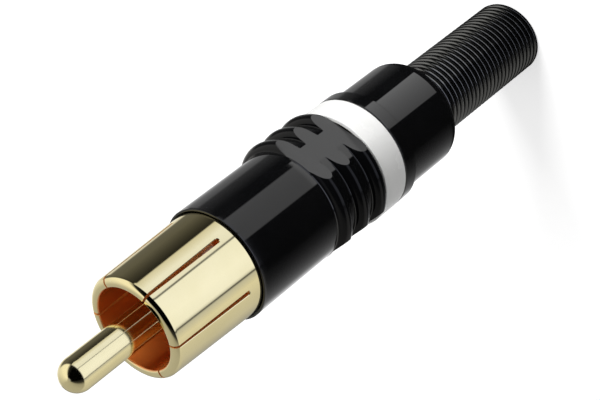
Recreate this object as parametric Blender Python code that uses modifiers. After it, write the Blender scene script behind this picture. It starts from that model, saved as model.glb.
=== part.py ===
"""Phono (RCA) cable plug, standing on the ground end of its kink spring, pin upwards.

The plug is built along +Z on one axis: spring and rear cap at the bottom, then the colour
ring and the ribbed shell, and the contact insert with its slotted sleeve and pin on top.
Threads are plain cylinders here, with their running clearance.
"""
import math

import bmesh
import bpy
from mathutils import Matrix

MM = 0.001

# Clearances
FACE_GAP = 0.05 * MM
RUN_GAP = 0.10 * MM
CUT_MARGIN = 1.0 * MM

# Lengths along the axis, from the floor up
SPRING_STANDING = 16.45 * MM
CAP_LENGTH = 9.60 * MM
RING_LENGTH = 3.05 * MM
SHELL_LENGTH = 17.07 * MM
SLEEVE_REACH = 10.53 * MM
PIN_REACH = 8.20 * MM

# Kink spring: round wire, close wound, ground flat below and flared inside the cap
WIRE_DIAMETER = 0.60 * MM
SPRING_OUTER_R = 3.87 * MM
SPRING_PITCH = 0.66 * MM
CLOSED_PITCH_SLACK = 0.02 * MM
FLARE_GAP = 0.40 * MM
FLARE_ROOM = 1.45 * MM
FLARE_RISE_TURNS = 0.40
GROUND_SHARE = 0.25
WIRE_STEPS_PER_TURN = 14

# Rear cap
CAP_BODY_STEP = 0.44 * MM
CAP_FLANGE_LENGTH = 1.55 * MM
CAP_FLANGE_FILLET = 0.30 * MM
CAP_END_LAND = 0.07 * MM

# Thrust washer between the flared turn and the shell's spigot
WASHER_THICKNESS = 0.50 * MM
WASHER_BORE_R = 3.30 * MM

# Colour ring, which stands a little proud of the shell
RING_PROUD = 0.30 * MM
RING_EDGE = 0.12 * MM

# Front shell
SHELL_LIP = 0.21 * MM
SHELL_WALL = 0.73 * MM
SHELL_EDGE = 0.06 * MM
BEAD_COUNT = 3
BEAD_PITCH = 2.54 * MM
BEAD_ROUND = 0.80 * MM
BEAD_HEIGHT = 0.74 * MM
BEAD_FILLET = 0.12 * MM
FIRST_BEAD_FILLET = 0.30 * MM
REAR_LAND = 0.04 * MM
FLAT_COUNT = 3
FLAT_BITE = 0.11 * MM
FLAT_FIRST_ANGLE = -62.5
FLAT_LEAD = 0.88 * MM
SPIGOT_STEP = 0.68 * MM
SPIGOT_LENGTH = 6.30 * MM
SPIGOT_EDGE = 0.20 * MM
SHELL_MOUTH_DEPTH = 1.45 * MM
CONE_LEDGE = 0.45 * MM
CONE_LENGTH = 5.00 * MM
CONE_RISE = 0.90 * MM
CONE_TOP_ABOVE_REAR = 0.60 * MM

# Threaded barrel of the contact sleeve
INSERT_BARREL_LENGTH = 6.12 * MM
BARREL_EDGE = 0.20 * MM
BARREL_WALL = 0.50 * MM
BARREL_LIP_WIDTH = 0.45 * MM
BARREL_LIP_LENGTH = 0.35 * MM

# Contact sleeve: its mouth's bore is the interface that the radii outside it follow from
SLEEVE_MOUTH_BORE_R = 4.10 * MM
SLEEVE_MOUTH_WALL = 1.00 * MM
SLEEVE_TAPER = 0.27 * MM
SLEEVE_BORE_TAPER = 0.10 * MM
SLEEVE_LIP_ROUND = 0.30 * MM
SLEEVE_LIP_CHAMFER = 0.22 * MM
SLOT_COUNT = 6
SLOT_FIRST_ANGLE = -73.0
SLOT_LENGTH = 9.05 * MM
SLOT_MOUTH_WIDTH = 0.22 * MM
SLOT_ROOT_WIDTH = 0.42 * MM
SLEEVE_DEPTH = 9.45 * MM

# Centre pin
PIN_R = 1.60 * MM
PIN_COLLAR_R = 2.20 * MM
PIN_COLLAR_LENGTH = 1.00 * MM
PIN_SHANK_R = 1.20 * MM
CUP_R = 1.45 * MM
CUP_BORE_R = 1.00 * MM
CUP_ABOVE_LINER_END = 3.10 * MM
CUP_FLOOR = 1.20 * MM
CUP_OPEN_LENGTH = 2.60 * MM
CUP_OPEN_OFFSET = 0.145 * MM
CUP_BELOW_BARREL = 0.15 * MM

# Insulators
FRONT_INSULATOR_LENGTH = 3.30 * MM

# Ground lug
LUG_THICKNESS = 0.50 * MM
LUG_BORE_R = 2.10 * MM
LUG_TAIL_INSET = 0.65 * MM
LUG_TAIL_WIDTH = 2.40 * MM
LUG_ABOVE_LINER_END = 2.15 * MM
LUG_HOLE_R = 0.55 * MM
LUG_HOLE_EDGE = 1.25 * MM
LUG_TAIL_EDGE = 0.10 * MM
LUG_ANGLE = 90.0

# Insulating liner
LINER_GAP = 0.15 * MM
LINER_WALL = 0.35 * MM
LINER_EDGE = 0.10 * MM

# Cable collet
COLLET_HEAD_GAP = 0.15 * MM
COLLET_HEAD_LENGTH = 1.00 * MM
COLLET_WALL = 0.50 * MM
COLLET_SLOT_WIDTH = 0.60 * MM
COLLET_SLOT_LENGTH = 3.90 * MM
COLLET_CUTS = 2
COLLET_FIRST_ANGLE = 45.0
COLLET_EDGE = 0.10 * MM

# Facets round the visible pieces, the hidden pieces, the pin and a small hole, and along arcs
ROUND_STEPS = 40
INNER_STEPS = 28
PIN_STEPS = 24
HOLE_STEPS = 16
END_STEPS = 5
BEAD_STEPS = 6
FILLET_STEPS = 3

# Radii that follow from the sizes above, from the sleeve outwards and then inwards again
sleeve_mouth_r = SLEEVE_MOUTH_BORE_R + SLEEVE_MOUTH_WALL
sleeve_root_r = sleeve_mouth_r + SLEEVE_TAPER
sleeve_root_bore_r = SLEEVE_MOUTH_BORE_R + SLEEVE_BORE_TAPER
shell_mouth_r = sleeve_root_r + RUN_GAP
shell_r = shell_mouth_r + SHELL_LIP
shell_bore_r = shell_r - SHELL_WALL
insert_thread_r = shell_bore_r - RUN_GAP
barrel_bore_r = insert_thread_r - BARREL_WALL
barrel_lip_r = barrel_bore_r - BARREL_LIP_WIDTH
insulator_r = barrel_bore_r - RUN_GAP
lug_tail_r = barrel_lip_r - LUG_TAIL_INSET
flat_distance = shell_r - FLAT_BITE
spigot_r = shell_r - SPIGOT_STEP
ring_outer_r = shell_r + RING_PROUD
cap_flange_r = ring_outer_r
cap_body_r = cap_flange_r - CAP_BODY_STEP
cap_thread_bore_r = spigot_r + RUN_GAP
spring_seat_r = SPRING_OUTER_R + RUN_GAP
cap_end_round = cap_body_r - spring_seat_r - CAP_END_LAND
flare_outer_r = cap_thread_bore_r - FLARE_GAP
cone_top_r = shell_bore_r - CONE_LEDGE
cable_exit_r = cone_top_r - CONE_RISE
collet_head_r = shell_bore_r - COLLET_HEAD_GAP
collet_bore_r = cable_exit_r - COLLET_WALL

# Places along the axis that follow from the sizes above
cap_rear_z = SPRING_STANDING
cap_front_z = cap_rear_z + CAP_LENGTH
ring_rear_z = cap_front_z + FACE_GAP
ring_front_z = ring_rear_z + RING_LENGTH
shell_rear_z = ring_front_z + FACE_GAP
shell_front_z = shell_rear_z + SHELL_LENGTH
sleeve_mouth_z = shell_front_z + SLEEVE_REACH
pin_tip_z = sleeve_mouth_z + PIN_REACH

spigot_end_z = shell_rear_z - SPIGOT_LENGTH
washer_front_z = spigot_end_z - FACE_GAP
washer_rear_z = washer_front_z - WASHER_THICKNESS
spring_ledge_z = washer_rear_z - FLARE_ROOM

mouth_step_z = shell_front_z - SHELL_MOUTH_DEPTH
cone_top_z = shell_rear_z + CONE_TOP_ABOVE_REAR
cone_low_z = cone_top_z - CONE_LENGTH

collet_seat_z = cone_top_z + FACE_GAP
collet_top_z = collet_seat_z + COLLET_HEAD_LENGTH
liner_low_z = collet_top_z + FACE_GAP

shoulder_z = mouth_step_z + FACE_GAP
barrel_end_z = shoulder_z - INSERT_BARREL_LENGTH
liner_top_z = barrel_end_z - FACE_GAP
lip_z = barrel_end_z + BARREL_LIP_LENGTH
lug_low_z = lip_z + FACE_GAP
lug_top_z = lug_low_z + LUG_THICKNESS
insulator_front_z = sleeve_mouth_z - SLEEVE_DEPTH
insulator_ledge_z = insulator_front_z + FACE_GAP
insulator_split_z = insulator_front_z - FRONT_INSULATOR_LENGTH
collar_top_z = insulator_split_z - FACE_GAP
collar_low_z = collar_top_z - PIN_COLLAR_LENGTH
rear_insulator_top_z = collar_top_z
rear_insulator_low_z = lug_top_z + FACE_GAP
cup_top_z = barrel_end_z - CUP_BELOW_BARREL
cup_end_z = liner_low_z + CUP_ABOVE_LINER_END
slot_root_z = sleeve_mouth_z - SLOT_LENGTH
nose_centre_z = pin_tip_z - PIN_R

bead_centre_r = shell_r + BEAD_HEIGHT - BEAD_ROUND
bead_half_width = math.sqrt(BEAD_ROUND ** 2 - (shell_r - bead_centre_r) ** 2)
last_bead_z = shell_rear_z + REAR_LAND + bead_half_width
first_bead_z = last_bead_z + (BEAD_COUNT - 1) * BEAD_PITCH


for old in list(bpy.data.objects):
    bpy.data.objects.remove(old, do_unlink=True)

plug = bpy.data.collections.new("rca_plug")
cutters = bpy.data.collections.new("cutters")
bpy.context.scene.collection.children.link(plug)
bpy.context.scene.collection.children.link(cutters)


def finish(name, colour, metallic, roughness):
    """Principled material with the piece's own colour."""
    material = bpy.data.materials.new(name)
    material.use_nodes = True
    shader = material.node_tree.nodes["Principled BSDF"]
    shader.inputs["Base Color"].default_value = (*colour, 1.0)
    shader.inputs["Metallic"].default_value = metallic
    shader.inputs["Roughness"].default_value = roughness
    return material


def arc(centre_r, centre_z, radius, start, end, steps):
    """Points of an arc in the (radius, height) plane, angles in degrees from +radius."""
    points = []
    for i in range(steps + 1):
        angle = math.radians(start + (end - start) * i / steps)
        points.append((centre_r + radius * math.cos(angle), centre_z + radius * math.sin(angle)))
    return points


def turned(name, profile, material, steps=ROUND_STEPS, closed=True, collection=plug):
    """Turn a profile of (radius, height) points about Z; it runs down its outer side."""
    mesh = bpy.data.meshes.new(name)
    verts = [(r, 0.0, z) for r, z in profile]
    edges = [(i, i + 1) for i in range(len(verts) - 1)]
    if closed:
        edges.append((len(verts) - 1, 0))
    mesh.from_pydata(verts, edges, [])
    obj = bpy.data.objects.new(name, mesh)
    collection.objects.link(obj)
    screw = obj.modifiers.new("turn", "SCREW")
    screw.axis = "Z"
    screw.angle = 2.0 * math.pi
    screw.steps = steps
    screw.render_steps = steps
    screw.use_merge_vertices = True
    screw.merge_threshold = 0.000001
    screw.use_smooth_shade = True
    if material is not None:
        mesh.materials.append(material)
    return obj


def as_cutter(obj):
    """Keep an object as a guide that is not part of the plug."""
    obj.hide_render = True
    obj.display_type = "WIRE"
    return obj


def box_cutter(name, size, place, turn_z=0.0, place_before_turn=False):
    """Box of a full size, put at a place and turned about Z."""
    mesh = bpy.data.meshes.new(name)
    bm = bmesh.new()
    bmesh.ops.create_cube(bm, size=1.0)
    bmesh.ops.scale(bm, vec=size, verts=bm.verts)
    if place_before_turn:
        bmesh.ops.translate(bm, vec=place, verts=bm.verts)
    bm.to_mesh(mesh)
    bm.free()
    obj = bpy.data.objects.new(name, mesh)
    if not place_before_turn:
        obj.location = place
    obj.rotation_euler[2] = math.radians(turn_z)
    cutters.objects.link(obj)
    return as_cutter(obj)


def boolean(target, tool, operation="DIFFERENCE"):
    """Add an exact Boolean to a piece."""
    modifier = target.modifiers.new(tool.name, "BOOLEAN")
    modifier.operation = operation
    modifier.solver = "EXACT"
    modifier.object = tool
    return modifier


def curve_to_mesh(name, curve_obj, collection):
    """Swap a curve object for the mesh it shows, with its caps welded on."""
    bpy.context.view_layer.update()
    depsgraph = bpy.context.evaluated_depsgraph_get()
    mesh = bpy.data.meshes.new_from_object(curve_obj.evaluated_get(depsgraph))
    mesh.name = name
    bm = bmesh.new()
    bm.from_mesh(mesh)
    bmesh.ops.remove_doubles(bm, verts=bm.verts, dist=0.0000005)
    bmesh.ops.recalc_face_normals(bm, faces=bm.faces)
    bm.to_mesh(mesh)
    bm.free()
    obj = bpy.data.objects.new(name, mesh)
    obj.matrix_world = curve_obj.matrix_world.copy()
    collection.objects.link(obj)
    bpy.data.objects.remove(curve_obj, do_unlink=True)
    return obj


# Kink spring
def spring_path():
    """Centre line of the wire: closed ground turn, close-wound body, flared top turn."""
    wire_r = WIRE_DIAMETER / 2.0
    coil_r = SPRING_OUTER_R - wire_r
    flare_growth = flare_outer_r - SPRING_OUTER_R
    closed_pitch = WIRE_DIAMETER + CLOSED_PITCH_SLACK
    tip_z = wire_r - (1.0 - GROUND_SHARE) * WIRE_DIAMETER
    body_z = tip_z + closed_pitch
    flare_z = spring_ledge_z + wire_r + FACE_GAP
    top_z = washer_rear_z - wire_r - FACE_GAP
    body_turns = (flare_z - body_z) / SPRING_PITCH
    flare_turns = (top_z - flare_z) / SPRING_PITCH
    total = 1.0 + body_turns + flare_turns
    count = int(math.ceil(total * WIRE_STEPS_PER_TURN))
    points = []
    for i in range(count + 1):
        turn = total * i / count
        if turn < 1.0:
            z = tip_z + closed_pitch * turn
        else:
            z = body_z + SPRING_PITCH * (turn - 1.0)
        into_flare = (turn - 1.0 - body_turns) / FLARE_RISE_TURNS
        share = min(max(into_flare, 0.0), 1.0)
        radius = coil_r + flare_growth * share * share * (3.0 - 2.0 * share)
        angle = 2.0 * math.pi * turn
        points.append((radius * math.cos(angle), radius * math.sin(angle), z))
    return points


def kink_spring():
    curve = bpy.data.curves.new("kink_spring_wire", "CURVE")
    curve.dimensions = "3D"
    curve.bevel_depth = WIRE_DIAMETER / 2.0
    curve.bevel_resolution = 1
    curve.use_fill_caps = True
    points = spring_path()
    spline = curve.splines.new("POLY")
    spline.points.add(len(points) - 1)
    for point, place in zip(spline.points, points):
        point.co = (*place, 1.0)
    wire = bpy.data.objects.new("kink_spring_wire", curve)
    plug.objects.link(wire)
    spring = curve_to_mesh("kink_spring", wire, plug)
    spring.data.materials.clear()
    spring.data.materials.append(finish("spring_black", (0.02, 0.02, 0.02), 0.8, 0.30))
    spring.data.shade_smooth()
    reach = 2.0 * (SPRING_OUTER_R + CUT_MARGIN)
    grinder = box_cutter("spring_ground_end", (reach, reach, reach), (0.0, 0.0, -reach / 2.0))
    boolean(spring, grinder)
    return spring


# Rear cap, with the flange that clamps the colour ring and the round end over the spring
def rear_cap():
    flange_low_z = cap_front_z - CAP_FLANGE_LENGTH
    profile = [(cap_thread_bore_r, cap_front_z)]
    profile += [(cap_flange_r - RING_EDGE, cap_front_z), (cap_flange_r, cap_front_z - RING_EDGE)]
    profile += [(cap_flange_r, flange_low_z + RING_EDGE), (cap_flange_r - RING_EDGE, flange_low_z)]
    profile += arc(cap_body_r + CAP_FLANGE_FILLET, flange_low_z - CAP_FLANGE_FILLET,
                   CAP_FLANGE_FILLET, 90.0, 180.0, FILLET_STEPS)
    profile += arc(cap_body_r - cap_end_round, cap_rear_z + cap_end_round,
                   cap_end_round, 0.0, -90.0, END_STEPS)
    profile += [(spring_seat_r, cap_rear_z), (spring_seat_r, spring_ledge_z)]
    profile += [(cap_thread_bore_r, spring_ledge_z)]
    return turned("rear_cap", profile, finish("cap_black", (0.012, 0.012, 0.013), 0.0, 0.12))


def thrust_washer():
    outer_r = spigot_r - FACE_GAP
    profile = [(WASHER_BORE_R, washer_front_z), (outer_r, washer_front_z)]
    profile += [(outer_r, washer_rear_z), (WASHER_BORE_R, washer_rear_z)]
    material = finish("washer_grey", (0.30, 0.30, 0.31), 0.0, 0.45)
    return turned("thrust_washer", profile, material, INNER_STEPS)


def colour_ring():
    inner_r = spigot_r + RUN_GAP
    profile = [(inner_r, ring_front_z), (ring_outer_r - RING_EDGE, ring_front_z)]
    profile += [(ring_outer_r, ring_front_z - RING_EDGE), (ring_outer_r, ring_rear_z + RING_EDGE)]
    profile += [(ring_outer_r - RING_EDGE, ring_rear_z), (inner_r, ring_rear_z)]
    return turned("colour_ring", profile, finish("ring_white", (0.90, 0.90, 0.88), 0.0, 0.30))


# Front shell: three round ribs with three flats across them, and a threaded rear spigot
def rib_profile(centre_z, front_fillet, rear_fillet):
    """One round rib, from its front fillet over the crest to its rear fillet, if it has one."""
    points = []
    for side, fillet in ((1.0, front_fillet), (-1.0, rear_fillet)):
        fillet_r = shell_r + fillet
        fillet_dz = math.sqrt((BEAD_ROUND + fillet) ** 2 - (fillet_r - bead_centre_r) ** 2)
        tangent = math.degrees(math.atan2(fillet_dz, fillet_r - bead_centre_r))
        half = arc(bead_centre_r, centre_z, BEAD_ROUND, side * tangent, 0.0, BEAD_STEPS // 2)
        if fillet > 0.0:
            lead = arc(fillet_r, centre_z + side * fillet_dz, fillet,
                       180.0, 180.0 + side * tangent, FILLET_STEPS)
            half = lead[:-1] + half
        if side > 0.0:
            points += half
        else:
            points += half[-2::-1]
    return points


def front_shell():
    profile = [(shell_mouth_r, shell_front_z), (shell_r - SHELL_EDGE, shell_front_z)]
    profile += [(shell_r, shell_front_z - SHELL_EDGE)]
    for i in range(BEAD_COUNT):
        front_fillet = FIRST_BEAD_FILLET if i == 0 else BEAD_FILLET
        rear_fillet = BEAD_FILLET if i < BEAD_COUNT - 1 else 0.0
        profile += rib_profile(first_bead_z - i * BEAD_PITCH, front_fillet, rear_fillet)
    profile += [(shell_r, shell_rear_z), (spigot_r, shell_rear_z)]
    profile += [(spigot_r, spigot_end_z + SPIGOT_EDGE), (spigot_r - SPIGOT_EDGE, spigot_end_z)]
    profile += [(cable_exit_r, spigot_end_z), (cable_exit_r, cone_low_z)]
    profile += [(cone_top_r, cone_top_z), (shell_bore_r, cone_top_z)]
    profile += [(shell_bore_r, mouth_step_z), (shell_mouth_r, mouth_step_z)]
    shell = turned("front_shell", profile, finish("shell_black", (0.012, 0.012, 0.013), 0.0, 0.12))
    flat_top_z = first_bead_z + FLAT_LEAD
    flat_low_z = shell_rear_z
    depth = BEAD_HEIGHT + CUT_MARGIN
    for i in range(FLAT_COUNT):
        size = (depth, 2.0 * shell_r, flat_top_z - flat_low_z + FACE_GAP / 2.0)
        place = (flat_distance + depth / 2.0, 0.0, (flat_top_z + flat_low_z) / 2.0 - FACE_GAP / 4.0)
        angle = FLAT_FIRST_ANGLE + i * 360.0 / FLAT_COUNT
        boolean(shell, box_cutter("flat_%d" % (i + 1), size, place, angle, True))
    return shell


# Cable collet: a slotted chuck that the shell's inner cone squeezes onto the cable
def cable_collet():
    slope = CONE_RISE / CONE_LENGTH
    tail_z = cone_low_z + FACE_GAP
    tail_r = cable_exit_r - RUN_GAP + slope * FACE_GAP
    neck_r = cone_top_r - RUN_GAP
    profile = [(collet_bore_r + COLLET_EDGE, collet_top_z), (collet_head_r, collet_top_z)]
    profile += [(collet_head_r, collet_seat_z), (neck_r, collet_seat_z)]
    profile += [(tail_r, tail_z), (collet_bore_r, tail_z)]
    profile += [(collet_bore_r, collet_top_z - COLLET_EDGE)]
    material = finish("collet_grey", (0.07, 0.07, 0.075), 0.0, 0.5)
    collet = turned("cable_collet", profile, material, INNER_STEPS)
    height = COLLET_SLOT_LENGTH + CUT_MARGIN
    place = (0.0, 0.0, tail_z + COLLET_SLOT_LENGTH - height / 2.0)
    size = (2.0 * (collet_head_r + CUT_MARGIN), COLLET_SLOT_WIDTH, height)
    for i in range(COLLET_CUTS):
        angle = COLLET_FIRST_ANGLE + i * 180.0 / COLLET_CUTS
        boolean(collet, box_cutter("collet_slot_%d" % (i + 1), size, place, angle))
    return collet


def insulating_liner():
    outer_r = shell_bore_r - LINER_GAP
    inner_r = outer_r - LINER_WALL
    profile = [(inner_r, liner_top_z), (outer_r - LINER_EDGE, liner_top_z)]
    profile += [(outer_r, liner_top_z - LINER_EDGE), (outer_r, liner_low_z + LINER_EDGE)]
    profile += [(outer_r - LINER_EDGE, liner_low_z), (inner_r, liner_low_z)]
    material = finish("liner_clear", (0.72, 0.72, 0.68), 0.0, 0.4)
    return turned("insulating_liner", profile, material, INNER_STEPS)


# Contact sleeve: slotted fingers in front, threaded barrel behind
def slot_cutter():
    """Six tapered slots with round roots, as one tool of separate solids."""
    length = SLOT_LENGTH + CUT_MARGIN
    growth = (SLOT_ROOT_WIDTH - SLOT_MOUTH_WIDTH) / SLOT_LENGTH
    far_half = (SLOT_MOUTH_WIDTH - growth * CUT_MARGIN) / 2.0
    root_half = SLOT_ROOT_WIDTH / 2.0
    outline = [(length, far_half), (length, -far_half)]
    outline += arc(root_half, 0.0, root_half, -90.0, -270.0, END_STEPS)
    curve = bpy.data.curves.new("slot_outline", "CURVE")
    curve.dimensions = "2D"
    curve.fill_mode = "BOTH"
    inner_r = (PIN_R + SLEEVE_MOUTH_BORE_R) / 2.0
    outer_r = sleeve_root_r + CUT_MARGIN
    curve.extrude = (outer_r - inner_r) / 2.0
    spline = curve.splines.new("POLY")
    spline.points.add(len(outline) - 1)
    for point, (along, across) in zip(spline.points, outline):
        point.co = (along, across, 0.0, 1.0)
    spline.use_cyclic_u = True
    drawn = bpy.data.objects.new("slot_outline", curve)
    cutters.objects.link(drawn)
    one = curve_to_mesh("slot_outline_solid", drawn, cutters)
    bm = bmesh.new()
    stand = Matrix.Translation(((outer_r + inner_r) / 2.0, 0.0, slot_root_z))
    stand = stand @ Matrix.Rotation(math.radians(-90.0), 4, "Y")
    for i in range(SLOT_COUNT):
        turn = math.radians(SLOT_FIRST_ANGLE + i * 360.0 / SLOT_COUNT)
        copy = one.data.copy()
        copy.transform(Matrix.Rotation(turn, 4, "Z") @ stand)
        bm.from_mesh(copy)
        bpy.data.meshes.remove(copy)
    bpy.data.objects.remove(one, do_unlink=True)
    mesh = bpy.data.meshes.new("sleeve_slots")
    bmesh.ops.recalc_face_normals(bm, faces=bm.faces)
    bm.to_mesh(mesh)
    bm.free()
    tool = bpy.data.objects.new("sleeve_slots", mesh)
    cutters.objects.link(tool)
    return as_cutter(tool)


def contact_sleeve():
    lip = SLEEVE_LIP_ROUND
    profile = [(SLEEVE_MOUTH_BORE_R + SLEEVE_LIP_CHAMFER, sleeve_mouth_z)]
    profile += arc(sleeve_mouth_r - lip, sleeve_mouth_z - lip, lip, 90.0, 0.0, FILLET_STEPS)
    profile += [(sleeve_root_r, shell_front_z), (sleeve_root_r, shoulder_z)]
    profile += [(insert_thread_r, shoulder_z), (insert_thread_r, barrel_end_z + BARREL_EDGE)]
    profile += [(insert_thread_r - BARREL_EDGE, barrel_end_z), (barrel_lip_r, barrel_end_z)]
    profile += [(barrel_lip_r, lip_z), (barrel_bore_r, lip_z)]
    profile += [(barrel_bore_r, insulator_ledge_z), (sleeve_root_bore_r, insulator_ledge_z)]
    profile += [(sleeve_root_bore_r, slot_root_z)]
    profile += [(SLEEVE_MOUTH_BORE_R, sleeve_mouth_z - SLEEVE_LIP_CHAMFER)]
    sleeve = turned("contact_sleeve", profile, finish("sleeve_gold", (0.83, 0.76, 0.55), 1.0, 0.15))
    boolean(sleeve, slot_cutter())
    return sleeve


# Centre pin: round nose, collar between the insulators, solder cup behind
def centre_pin():
    cup_floor_z = cup_top_z - CUP_FLOOR
    profile = arc(0.0, nose_centre_z, PIN_R, 90.0, 0.0, END_STEPS)
    profile[0] = (0.0, pin_tip_z)
    profile += [(PIN_R, collar_top_z), (PIN_COLLAR_R, collar_top_z), (PIN_COLLAR_R, collar_low_z)]
    profile += [(PIN_SHANK_R, collar_low_z), (PIN_SHANK_R, cup_top_z), (CUP_R, cup_top_z)]
    profile += [(CUP_R, cup_end_z), (CUP_BORE_R, cup_end_z), (CUP_BORE_R, cup_floor_z)]
    profile += [(0.0, cup_floor_z)]
    material = finish("pin_gold", (0.83, 0.76, 0.55), 1.0, 0.15)
    pin = turned("centre_pin", profile, material, PIN_STEPS, False)
    height = CUP_OPEN_LENGTH + CUT_MARGIN
    size = (2.0 * CUP_R, 2.0 * (CUP_R + CUT_MARGIN), height)
    place = (CUP_R + CUP_OPEN_OFFSET, 0.0, cup_end_z + CUP_OPEN_LENGTH - height / 2.0)
    boolean(pin, box_cutter("cup_side", size, place, LUG_ANGLE + 180.0, True))
    return pin


def front_insulator():
    bore_r = PIN_R + RUN_GAP
    profile = [(bore_r, insulator_front_z), (insulator_r, insulator_front_z)]
    profile += [(insulator_r, insulator_split_z), (bore_r, insulator_split_z)]
    material = finish("insulator_black", (0.03, 0.03, 0.03), 0.0, 0.5)
    return turned("front_insulator", profile, material, INNER_STEPS)


def rear_insulator():
    bore_r = PIN_SHANK_R + RUN_GAP
    pocket_r = PIN_COLLAR_R + RUN_GAP
    pocket_z = collar_low_z - FACE_GAP
    profile = [(pocket_r, rear_insulator_top_z), (insulator_r, rear_insulator_top_z)]
    profile += [(insulator_r, rear_insulator_low_z), (bore_r, rear_insulator_low_z)]
    profile += [(bore_r, pocket_z), (pocket_r, pocket_z)]
    material = finish("insulator_white", (0.80, 0.80, 0.78), 0.0, 0.5)
    return turned("rear_insulator", profile, material, INNER_STEPS)


# Ground lug: stamped ring with a solder tail that passes through the barrel's lip
def ground_lug():
    profile = [(LUG_BORE_R, lug_top_z), (insulator_r, lug_top_z)]
    profile += [(insulator_r, lug_low_z), (LUG_BORE_R, lug_low_z)]
    lug = turned("ground_lug", profile, finish("lug_gold", (0.80, 0.72, 0.50), 1.0, 0.25), INNER_STEPS)
    tail_low_z = liner_low_z + LUG_ABOVE_LINER_END
    tail_top_z = (lug_low_z + lug_top_z) / 2.0
    size = (LUG_THICKNESS, LUG_TAIL_WIDTH, tail_top_z - tail_low_z)
    place = (lug_tail_r, 0.0, (tail_top_z + tail_low_z) / 2.0)
    tail = box_cutter("lug_tail", size, place, LUG_ANGLE, True)
    round_end = tail.modifiers.new("round_corners", "BEVEL")
    round_end.width = LUG_TAIL_EDGE
    round_end.segments = 1
    boolean(lug, tail, "UNION")
    mesh = bpy.data.meshes.new("lug_hole")
    bm = bmesh.new()
    bmesh.ops.create_cone(bm, cap_ends=True, segments=HOLE_STEPS, radius1=LUG_HOLE_R,
                          radius2=LUG_HOLE_R, depth=LUG_THICKNESS + 2.0 * CUT_MARGIN)
    lay = Matrix.Rotation(math.radians(90.0), 4, "Y")
    stand = Matrix.Translation((lug_tail_r, 0.0, tail_low_z + LUG_HOLE_EDGE))
    bm.transform(Matrix.Rotation(math.radians(LUG_ANGLE), 4, "Z") @ stand @ lay)
    bm.to_mesh(mesh)
    bm.free()
    hole = bpy.data.objects.new("lug_hole", mesh)
    cutters.objects.link(hole)
    boolean(lug, as_cutter(hole))
    return lug


kink_spring()
rear_cap()
thrust_washer()
colour_ring()
front_shell()
cable_collet()
insulating_liner()
contact_sleeve()
centre_pin()
front_insulator()
rear_insulator()
ground_lug()
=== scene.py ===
import math

import bmesh
import bpy
from mathutils import Matrix, Vector


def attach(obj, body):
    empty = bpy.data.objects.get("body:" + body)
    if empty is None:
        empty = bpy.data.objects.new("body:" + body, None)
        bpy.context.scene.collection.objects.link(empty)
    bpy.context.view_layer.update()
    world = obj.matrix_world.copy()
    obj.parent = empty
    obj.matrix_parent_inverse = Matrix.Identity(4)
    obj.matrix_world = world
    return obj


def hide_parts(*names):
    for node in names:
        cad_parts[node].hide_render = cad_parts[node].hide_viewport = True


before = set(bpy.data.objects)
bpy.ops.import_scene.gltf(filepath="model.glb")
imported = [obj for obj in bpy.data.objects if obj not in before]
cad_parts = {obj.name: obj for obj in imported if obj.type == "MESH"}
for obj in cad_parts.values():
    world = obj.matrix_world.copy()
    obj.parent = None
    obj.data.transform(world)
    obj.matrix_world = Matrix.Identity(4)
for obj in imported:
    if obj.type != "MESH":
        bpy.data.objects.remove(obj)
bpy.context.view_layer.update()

MM = 0.001


# Kink spring: one length of round steel wire, blackened and wound close on a mandrel. Its
# lowest turn is closed and ground flat, and its top turn is flared so that the rear cap
# can't be pulled off over it.
WIRE_R = 0.300
SPRING_COIL_R = 3.570
SPRING_FLARE_R = 4.400
SPRING_PITCH = 0.66
SPRING_CLOSED_PITCH = 0.62
SPRING_TIP_Z = -0.15
SPRING_FLARE_Z = 21.25
SPRING_TOP_Z = 22.00
SPRING_FLARE_TURNS = 0.40
SPRING_STEPS_PER_TURN = 72
WIRE_SIDES = 14
WIRE_COLOURS = ((0.130, 0.131, 0.130), (0.160, 0.161, 0.160))
WIRE_WORN_COLOUR = (0.20, 0.20, 0.20)
WIRE_ROUGHNESS = (0.13, 0.20)
MOTTLE_RANGE = (0.35, 0.65)
GLOSS_RANGE = (0.38, 0.72)
GLOSS_CLOUD_SIZE = 0.8
CORNER_RANGE = (0.52, 0.62)
CHIP_RANGE = (0.40, 0.62)
CHIP_SCALE = 1500.0


def spring_centre_line():
    """Centre of the wire at each step, with the angle it stands at, in millimetres."""
    body_z = SPRING_TIP_Z + SPRING_CLOSED_PITCH
    body_turns = (SPRING_FLARE_Z - body_z) / SPRING_PITCH
    turns = 1.0 + body_turns + (SPRING_TOP_Z - SPRING_FLARE_Z) / SPRING_PITCH
    count = math.ceil(turns * SPRING_STEPS_PER_TURN)
    line = []
    for i in range(count + 1):
        turn = turns * i / count
        z = SPRING_TIP_Z + SPRING_CLOSED_PITCH * turn
        if turn > 1.0:
            z = body_z + SPRING_PITCH * (turn - 1.0)
        share = min(max((turn - 1.0 - body_turns) / SPRING_FLARE_TURNS, 0.0), 1.0)
        rise = share * share * (3.0 - 2.0 * share)
        radius = SPRING_COIL_R + (SPRING_FLARE_R - SPRING_COIL_R) * rise
        line.append((radius, 2.0 * math.pi * turn, z))
    return line


def smooth_between_edges(mesh, angle):
    """Smooth shading that stops at edges sharper than an angle in degrees."""
    mesh.shade_smooth()
    mesh.set_sharp_from_angle(angle=math.radians(angle))


def add_piece(name, bm, sharp_angle=28.0):
    """Turn a bmesh in millimetres into a piece at the origin of the frame."""
    bmesh.ops.scale(bm, vec=(MM, MM, MM), verts=bm.verts)
    bmesh.ops.recalc_face_normals(bm, faces=bm.faces)
    mesh = bpy.data.meshes.new(name)
    bm.to_mesh(mesh)
    bm.free()
    smooth_between_edges(mesh, sharp_angle)
    piece = bpy.data.objects.new(name, mesh)
    bpy.context.scene.collection.objects.link(piece)
    return piece


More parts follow.
